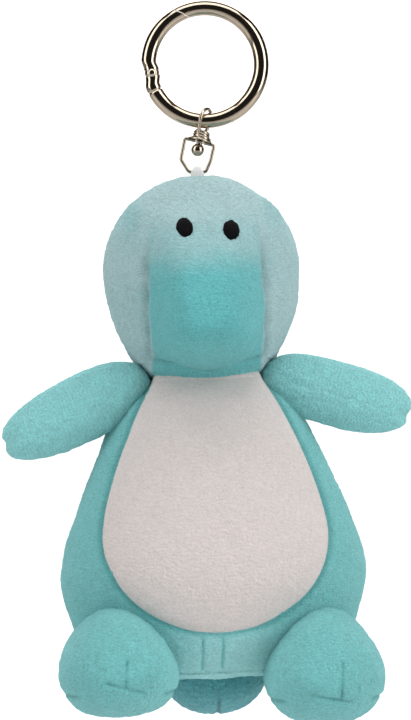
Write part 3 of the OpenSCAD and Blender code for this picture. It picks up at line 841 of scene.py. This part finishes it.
def head_form():
    """Grid over the head: rows down from the crown, and columns crowded together where the
    muzzle's sides stand out from the cheeks."""
    rise = np.linspace(0.02, 0.5, HEAD_ROWS // 2, endpoint=False) * math.pi
    above = HEAD_MID - (HEAD_MID - HEAD_TOP) * np.cos(rise)
    below = np.linspace(HEAD_MID, HEAD_TUCK, HEAD_ROWS - len(above))
    d = np.concatenate([above, below])[:, None]
    even = np.linspace(-math.pi, math.pi, 2001)
    crowd = np.cumsum(1 + 2.6 * bell_of(np.abs(even) - 0.5, 0.17))
    share = np.linspace(crowd[0], crowd[-1], HEAD_COLS, endpoint=False)
    angle = np.interp(share, crowd, even)[None]
    r, over = head_reach(d, angle)
    grid = np.stack([r * np.sin(angle), -r * np.cos(angle), -d + 0 * r], -1)
    return grid, d, over


def head_piece():
    """Head cover with the painted sheen and shade of its crown and muzzle, and its seams."""
    grid, d, over = head_form()
    x, y = grid[..., 0], grid[..., 1]
    sides = smoothstep(9.5, 12.0, np.abs(x)) * smoothstep(15, 24, d) + smoothstep(44, 47, d)
    uneven = 0.7 + 0.3 * lattice_noise(grid / 2.2, 5)
    # The seam mask also carries painted shade into the creases along the muzzle's sides and at the nape.
    crease = uneven * bell_of(over - 1.0, 0.085) * np.minimum(1, sides)
    nape = 0.8 * bell_of(np.abs(x) - NAPE_SEAM, 0.5) * (y > 0) * smoothstep(3, 6, d)
    seam = np.clip(crease + nape, 0, 1)
    # Painted sheen and shade of the nap: the tone is pale at the crown, where the panel faces up, and fades to
    # the deeper teal of the muzzle, which faces front and down.
    uneven_d = d + lattice_noise(grid / 4.0, 6)
    fading = 0.3 * smoothstep(9, 17, d) + 0.7 * smoothstep(17.5, 28.0, uneven_d)
    nap_sheen_shade_tone = fading * smoothstep(14.3, 13.2, np.abs(x)) * (y < 0)
    temple = 0.42 * bell_of(np.abs(x) - TEMPLE[0], 3.2) * bell_of(d - TEMPLE[1], 6.5) * uneven
    cheek = 0.08 * smoothstep(13.5, 15.5, np.abs(x)) * (1 + lattice_noise(grid / 8.0, 7))
    tone = np.clip(nap_sheen_shade_tone + temple + cheek, 0, 1)
    cloth = plush("pale_aqua_plush", PALE_AQUA, MUZZLE_SHADED_TEAL, HEAD_NAP, (12, 0, 4))
    stitched = sum(bell_of(np.hypot(x - eye_x, d - eye_d), 5.0)
                   for eye_x, eye_d in EYE_MIDDLE.values()) * (y < 0)
    piece = cover("head_cover", grid, seam, tone, HEAD_NAP, cloth, 11,
                  np.clip(1.4 * stitched, 0.12, 1))
    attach(piece, "toy")
    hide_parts("head_stuffing", "head_gusset", "head_side_left", "head_side_right")


short_pile = short_pile_group()
head_piece()


# ---- Eyes: two small ovals of black thread, embroidered on the forehead in satin stitch.
# The stitches lie side by side and stand a little proud of the cloth.

EYE_HALF = (2.05, 2.5)
EYE_PROUD = 0.75
STITCH = 0.32
THREAD_BLACK = (5, 5, 8)


def eye_thread_material():
    """Black thread: a fine twist along each stitch, with a faint gloss and painted highlight on the raised
    strands.
    """
    material = bpy.data.materials.new("black_embroidery_thread")
    material.use_nodes = True
    tree = material.node_tree
    shader = tree.nodes["Principled BSDF"]
    shader.inputs["Roughness"].default_value = 0.75
    shader.inputs["Specular IOR Level"].default_value = 0.06
    place = tree.nodes.new("ShaderNodeTexCoord").outputs["Object"]
    twist = linked(tree, "ShaderNodeTexWave", Vector=place, Scale=1600.0, Distortion=2.0)
    fray = linked(tree, "ShaderNodeTexNoise", Vector=place, Scale=1800.0, Detail=3.0)
    strand = sums(tree, "MULTIPLY", twist.outputs["Fac"], fray.outputs["Fac"])
    # Painted highlight and shade: the colour is lighter on the raised strands of the twist and darker between
    # them.
    colour = mixed(tree, srgb(THREAD_BLACK, 0.6), srgb(THREAD_BLACK, 2.2), strand)
    bump = linked(tree, "ShaderNodeBump", Height=strand, Strength=0.5, Distance=0.0001)
    tree.links.new(colour, shader.inputs["Base Color"])
    tree.links.new(bump.outputs["Normal"], shader.inputs["Normal"])
    return material


def eye_piece(name, middle, thread, seed):
    """Oval on the skull's ellipse: from its middle the radius runs out to a slightly ragged edge
    and back underneath. The top is a low dome with a ridge for each stitch."""
    turn = np.linspace(0, 2 * math.pi, 96, endpoint=False)[None]
    out = np.concatenate([np.linspace(0.03, 1, 34), np.linspace(1, 0.03, 10)])[:, None]
    top = (np.arange(44) < 34)[:, None]
    edge = np.stack([np.cos(turn) * 5, np.sin(turn) * 5, 0 * turn + seed], -1)
    ragged = 1 + 0.045 * lattice_noise(edge, seed)
    x = middle[0] + EYE_HALF[0] * out * ragged * np.cos(turn)
    d = middle[1] + EYE_HALF[1] * out * ragged * np.sin(turn)
    y = head_front(x, d)
    ridge = 0.07 * np.abs(np.cos(math.pi * (d + 0.25 * x) / STITCH))
    proud = np.where(top, EYE_PROUD * (1 - out ** 4) ** 0.5 + ridge * (1 - out ** 6) + 0.1, -0.6)
    return shells(name, [toy(np.stack([x, y - proud, -d], -1))], thread)


thread_black = eye_thread_material()
for eye_name, eye_seed in (("eye_left", 3), ("eye_right", 8)):
    stitched_eye = eye_piece(eye_name + "_stitched", EYE_MIDDLE[eye_name], thread_black, eye_seed)
    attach(stitched_eye, "toy")
    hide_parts(eye_name)


# ---- Body: an aqua plush pear with a seam down the back and short darts under the belly.
# It is stuffed firmly and sewn to the head all round the neck.

BODY_ROWS = np.array([
    [52, 15.5, 12, 13],
    [58, 21.8, 16.5, 17],
    [67, 26.6, 20, 20.5],
    [82, 33, 25, 25],
    [99, 38.2, 28.5, 28],
    [110, 36.3, 27.5, 27.5],
    [118, 32, 24, 25],
    [124, 20, 15, 16],
])
BODY_TUCK = 2.6
BODY_BASE = 2.4
BODY_POWER = 2.1
BODY_GRID = (270, 340)
BELLY_MID = 90.0
BELLY_W = 28.5
BELLY_UP = 39.6
BELLY_DOWN = 24.2
BELLY_SINK = 0.5
DARTS = (-4.6, 0.4)
DART_FROM, DART_TO = 115.5, 122.5
AQUA = (126, 208, 209)
# Painted light: a lighter aqua for the low front between the feet.
LOW_FRONT_LIT_AQUA = (176, 250, 252)
AQUA_NAP = (0.55, 0.6, 0.75)


def smooth(rows, d, k):
    """Smooth curve through column k of the stations, at heights d: a cubic in each span whose
    end slopes come from the stations on either side."""
    x, y = rows[:, 0], rows[:, k]
    before = np.maximum(np.arange(len(x)) - 1, 0)
    after = np.minimum(np.arange(len(x)) + 1, len(x) - 1)
    slope = (y[after] - y[before]) / (x[after] - x[before])
    i = np.clip(np.searchsorted(x, d, "right") - 1, 0, len(x) - 2)
    span = x[i + 1] - x[i]
    t = np.clip((d - x[i]) / span, 0, 1)
    return (y[i] * (1 + 2 * t) * (1 - t) ** 2 + y[i + 1] * t ** 2 * (3 - 2 * t)
            + slope[i] * span * t * (1 - t) ** 2 - slope[i + 1] * span * t ** 2 * (1 - t))


def belly_reach(turn):
    """How far the belly's outline is from its middle in each direction, read off the outline:
    an ellipse below, and above it sides that draw in by a power of 1.5 to a flat top."""
    up = np.linspace(0, BELLY_UP, 200)
    low = np.linspace(0, math.pi / 2, 200)
    x = np.concatenate([[0], BELLY_W * (1 - 0.52 * (up[::-1] / BELLY_UP) ** 1.5),
                        BELLY_W * np.cos(low)[1:]])
    d = np.concatenate([[-BELLY_UP], -up[::-1], BELLY_DOWN * np.sin(low)[1:]])
    angle = np.arctan2(x, d)
    order = np.argsort(angle)
    return np.interp(np.abs(turn), angle[order], np.hypot(x, d)[order])


def belly_share(x, d):
    """Place between the belly's middle, 0, and its outline, 1, and the outline's distance."""
    away = belly_reach(np.arctan2(x, d - BELLY_MID))
    share = np.hypot(x, d - BELLY_MID) / away
    return share, away


def body_form():
    """Superellipse whose half widths follow the stations, drawn in to a point at each end."""
    rows, cols = BODY_GRID
    lip = np.linspace(0.48, 0, 16, endpoint=False) * math.pi
    side = np.linspace(52, 124, rows - 36)
    base = np.linspace(0, 0.48, 21)[1:] * math.pi
    d = np.concatenate([52 - BODY_TUCK * np.sin(lip), side, 124 + BODY_BASE * np.sin(base)])
    scale = np.concatenate([np.cos(lip), 0 * side + 1, np.cos(base)])[:, None]
    d = d[:, None]
    angle = np.linspace(-math.pi, math.pi, cols, endpoint=False)[None]
    wide = smooth(BODY_ROWS, d, 1) * scale
    deep = np.where(np.cos(angle) > 0, smooth(BODY_ROWS, d, 2), smooth(BODY_ROWS, d, 3)) * scale
    r = reach(angle, wide, deep, BODY_POWER)
    return np.stack([r * np.sin(angle), -r * np.cos(angle), -d + 0 * r], -1)


def body_piece():
    """Body cover, sunk a little under the belly panel, with its back seam and darts."""
    grid = body_form()
    x, y, d = grid[..., 0], grid[..., 1], -grid[..., 2]
    share, away = belly_share(x, d)
    front = y < 0
    # The seam mask also carries painted shade along the belly's edge, the back seam and the darts.
    edge = 0.6 * bell_of((share - 1) * away, 0.8) * front
    back = 0.9 * bell_of(x, 0.5) * (y > 0) * smoothstep(52, 54, d)
    darts = 0.8 * sum(bell_of(x - dart, 0.45) for dart in DARTS) * front \
        * smoothstep(DART_FROM - 1, DART_FROM, d) * smoothstep(DART_TO + 1, DART_TO, d)
    seam = np.clip(edge + back + darts, 0, 1)
    sunk = BELLY_SINK * smoothstep(1.02, 0.96, share) * front
    grid = grid - outward(grid) * sunk[..., None]
    # Painted light: the low front between the feet is painted lighter, against the shade the feet cast there.
    low_front_light = smoothstep(108, 117, d) * bell_of(x, 16) * front
    cloth = plush("aqua_plush", AQUA, LOW_FRONT_LIT_AQUA, AQUA_NAP)
    piece = cover("body_cover", grid, seam, low_front_light, AQUA_NAP, cloth, 23)
    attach(piece, "toy")
    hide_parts("body_stuffing", "body_side_left", "body_side_right")


body_piece()


# ---- Belly: an egg-shaped panel of white plush let into the front of the body.
# Its edge is sewn in all round, so it rolls down into the seam.

BELLY_WHITE = (224, 215, 212)
BELLY_PROUD = 0.55
BELLY_EDGE = -1.1
BELLY_BACK = -2.4


def belly_piece():
    """Polar patch from the belly's middle to its outline, laid on the body's front and back
    again underneath. It stands proud in the middle and rolls down at the edge."""
    turn = np.linspace(-math.pi, math.pi, 360, endpoint=False)[None]
    near = 110
    out = np.concatenate([np.sin(np.linspace(0.01, 0.5, near) * math.pi),
                          np.linspace(0.99, 0.02, 24)])[:, None]
    top = (np.arange(len(out)) < near)[:, None]
    away = belly_reach(turn)
    x = out * away * np.sin(turn)
    d = BELLY_MID + out * away * np.cos(turn)
    bulge = np.maximum(0, 1 - (np.abs(x) / smooth(BODY_ROWS, d, 1)) ** BODY_POWER)
    y = -smooth(BODY_ROWS, d, 2) * bulge ** (1 / BODY_POWER)
    grid = np.stack([x, y, -d], -1)
    seam = smoothstep(0.965, 1.0, out) + 0 * x
    grid[:near] += filled(np.concatenate([grid[:near], grid[near:] + [0, 6, 0]]),
                          np.where(top, np.maximum(seam, 0.1), 1) + 0 * x, 0.6)[:near]
    normal = outward_patch(grid)
    roll = (1 - np.clip(out, 0, 1) ** 14) ** 0.5
    pile = 0.22 * lattice_noise(grid / 6.0, 31) + 0.09 * lattice_noise(grid / 0.85, 32)
    height = np.where(top, BELLY_EDGE + (BELLY_PROUD - BELLY_EDGE) * roll + pile * roll,
                      BELLY_BACK * smoothstep(1.0, 0.9, out) + BELLY_EDGE * smoothstep(0.9, 1, out))
    grid = grid + normal * height[..., None]
    points, faces = closed_shell(grid)
    cloth = plush("white_plush", BELLY_WHITE, BELLY_WHITE, (0.7, 0.7, 1.0), (0, 0, 0), 0.0003,
                  (1.05, 0.86))
    piece = add_piece("belly_cover", toy(points), faces, cloth)
    # The seam mask carries painted shade into the belly's rolled edge.
    for label, values in (("seam", 0.2 * seam), ("tone", 0 * seam)):
        layer = piece.data.attributes.new(label, "FLOAT", "POINT")
        layer.data.foreach_set("value", np.append(values.ravel(), [0, 0]))
    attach(piece, "toy")
    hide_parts("belly_panel")


def outward_patch(grid):
    """Unit normals of a patch on the toy's front, turned to face forwards."""
    normal = unit(np.cross(np.gradient(grid, axis=0), np.roll(grid, -1, 1) - np.roll(grid, 1, 1)))
    return normal * np.where(normal[..., 1:2] > 0, -1, 1)


belly_piece()


# ---- Arms: flat mitten-shaped paddles of the same aqua plush, sewn on at the shoulders.
# Each is two panels with a seam round its edge and a small dent at the tip.

SHOULDER_X = 31.0
SHOULDER_Y = -3.0
SHOULDER_DOWN = (57.8, 56.4)
ARM_REACH = (22.0, 20.6)
ARM_DROOP = (24.0, 17.0)
ARM_ROOT = 18.0
ARM_W = 8.3
ARM_THICK = 7.0
LIMB_POWER = 2.4
LIMB_SECTION = 2.2
ARM_GRID = (190, 150)
LIMB_NAP = (0.55, 0.6, 0.9)
# Painted light: the arms are painted paler than the body's aqua, so that they look as brightly lit as the body.
ARM_LIT_AQUA = (152, 229, 230)


def limb_form(grid_size, wide, thick, root, tip):
    """Superellipsoid along its own height: root above the origin and tip below it. The size
    falls by a power of 2.4 towards both ends, round a section of power 2.2."""
    rows, cols = grid_size
    t = -np.cos(np.linspace(0.03, math.pi - 0.03, rows))[::-1, None]
    scale = fullness(t, LIMB_POWER)
    angle = np.linspace(-math.pi, math.pi, cols, endpoint=False)[None]
    r = reach(angle, wide * scale, thick * scale, LIMB_SECTION)
    return np.stack([r * np.sin(angle), -r * np.cos(angle),
                     np.where(t > 0, t * root, t * tip) + 0 * r], -1)


def arm_piece(name, side, seed):
    """Arm: the limb turned out to the side and drooped, its root carried on into the body."""
    index = 0 if side < 0 else 1
    local = limb_form(ARM_GRID, ARM_W, ARM_THICK, ARM_ROOT, ARM_REACH[index])
    x, y, z = np.moveaxis(local, -1, 0)
    dent = 0.9 * bell_of(x + 0.8, 1.3) * smoothstep(-0.55 * ARM_REACH[index], -ARM_REACH[index], z)
    z = z + dent
    turn = math.radians(side * (90 - ARM_DROOP[index]))
    placed = np.stack([x * math.cos(turn) - z * math.sin(turn), y,
                       x * math.sin(turn) + z * math.cos(turn)], -1)
    placed = placed + [side * SHOULDER_X, SHOULDER_Y, -SHOULDER_DOWN[index]]
    # The seam mask also carries painted shade round the arm's edge.
    round_edge = bell_of(y, 0.5) * smoothstep(9, 5, z)
    seam = np.clip(0.8 * round_edge, 0, 1)
    nap = (1.8, 0.8, 0.9)
    lay = (0, side * (90 - ARM_DROOP[index]) * -1, 0)
    # The arms take the paler aqua as painted light.
    cloth = plush(name + "_plush", ARM_LIT_AQUA, AQUA, LIMB_NAP, lay)
    piece = cover(name + "_cover", placed, seam, 0 * seam, nap, cloth, seed)
    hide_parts(name + "_front", name + "_back", name + "_stuffing")
    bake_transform(piece)


arm_piece("arm_left", -1, 41)
arm_piece("arm_right", 1, 47)


# ---- Feet: rounded stubs sewn to the bottom of the body, with a sole seam underneath.
# A pulled stitch in an upside-down T marks the toes on the front of each.

FOOT_X = 25.3
FOOT_Y = -17.5
FOOT_DOWN = (122.8, 126.0)
FOOT_W = 14.8
FOOT_LONG = 21.0
FOOT_HIGH = (11.2, 11.9)
SOLE_UP = 5.0
FOOT_NARROW = 0.22
FOOT_BACK = 0.35
FOOT_RISE = 0.45
FOOT_GRID = (200, 210)
TOE_LINES = (
    (((1.6, 3.4), (1.0, -2.4)), ((-3.6, -1.6), (5.6, -4.2))),
    (((3.4, 4.2), (2.6, -4.6)), ((-4.6, -3.4), (5.2, -5.4))),
)


def line_distance(x, z, start, end):
    """Distance in the plane from each point to a straight line between two points."""
    start, end = np.array(start), np.array(end)
    run = end - start
    t = np.clip(((x - start[0]) * run[0] + (z - start[1]) * run[1]) / (run @ run), 0, 1)
    return np.hypot(x - start[0] - t * run[0], z - start[1] - t * run[1])


def foot_piece(name, side, seed):
    """Foot: the limb laid forwards, with its sole seam and its toe stitches."""
    index = 0 if side < 0 else 1
    local = limb_form(FOOT_GRID, FOOT_W, FOOT_HIGH[index], FOOT_LONG, FOOT_LONG)
    x, y, z = local[..., 0], local[..., 2], -local[..., 1]
    up = np.maximum(0, z)
    x = x * (1 - FOOT_NARROW * smoothstep(0, FOOT_HIGH[index], up))
    y = y + FOOT_BACK * up
    z = z + FOOT_RISE * up
    # The toe stitches and the sole seam also carry painted shade into their dips.
    toes = sum(bell_of(line_distance(x, z, *line), 0.4) for line in TOE_LINES[index]) * (y < 0)
    toes = toes * (0.45 + 0.3 * lattice_noise(local / 1.2, seed))
    sole = 0.7 * bell_of(z + SOLE_UP, 0.5) * smoothstep(2, -2, np.abs(y) - 14)
    seam = np.clip(toes + sole, 0, 1)
    placed = np.stack([x + side * FOOT_X, y + FOOT_Y, z - FOOT_DOWN[index]], -1)
    cloth = plush(name + "_plush", AQUA, AQUA, (0.55, 0.7, 0.75))
    piece = cover(name + "_cover", placed, seam, 0 * seam, (0.8, 1.6, 2.0), cloth, seed)
    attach(piece, "toy")
    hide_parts(name + "_upper", name + "_sole", name + "_stuffing")


foot_piece("foot_left", -1, 53)
foot_piece("foot_right", 1, 59)


# ---- Tail: a short rounded stub of plush at the bottom of the back, painted a deeper teal as painted shade.
# It is two halves with a seam down the middle, and it shows between the feet.

TAIL_Y = 17.0
TAIL_DOWN = 125.0
TAIL_W = 13.3
TAIL_LONG = 26.0
TAIL_HIGH = 11.6
# Painted shade: the tail sits low under the body and is painted darker than the body's aqua.
TAIL_SHADED_TEAL = (88, 170, 178)


def tail_piece():
    """Tail: the limb laid backwards, with its middle seam."""
    local = limb_form(FOOT_GRID, TAIL_W, TAIL_HIGH, TAIL_LONG, TAIL_LONG)
    x, y, z = local[..., 0], -local[..., 2], local[..., 1]
    # The seam mask also carries painted shade down the tail's middle.
    seam = 0.8 * bell_of(x, 0.5) * smoothstep(-TAIL_LONG, -TAIL_LONG + 6, y)
    placed = np.stack([x, y + TAIL_Y, z - TAIL_DOWN], -1)
    cloth = plush("tail_shaded_plush", TAIL_SHADED_TEAL, TAIL_SHADED_TEAL, (0.8, 2.2, 1.4))
    piece = cover("tail_cover", placed, seam, 0 * seam, (0.8, 2.2, 1.4), cloth, 67)
    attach(piece, "toy")
    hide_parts("tail_left", "tail_right", "tail_stuffing")


tail_piece()
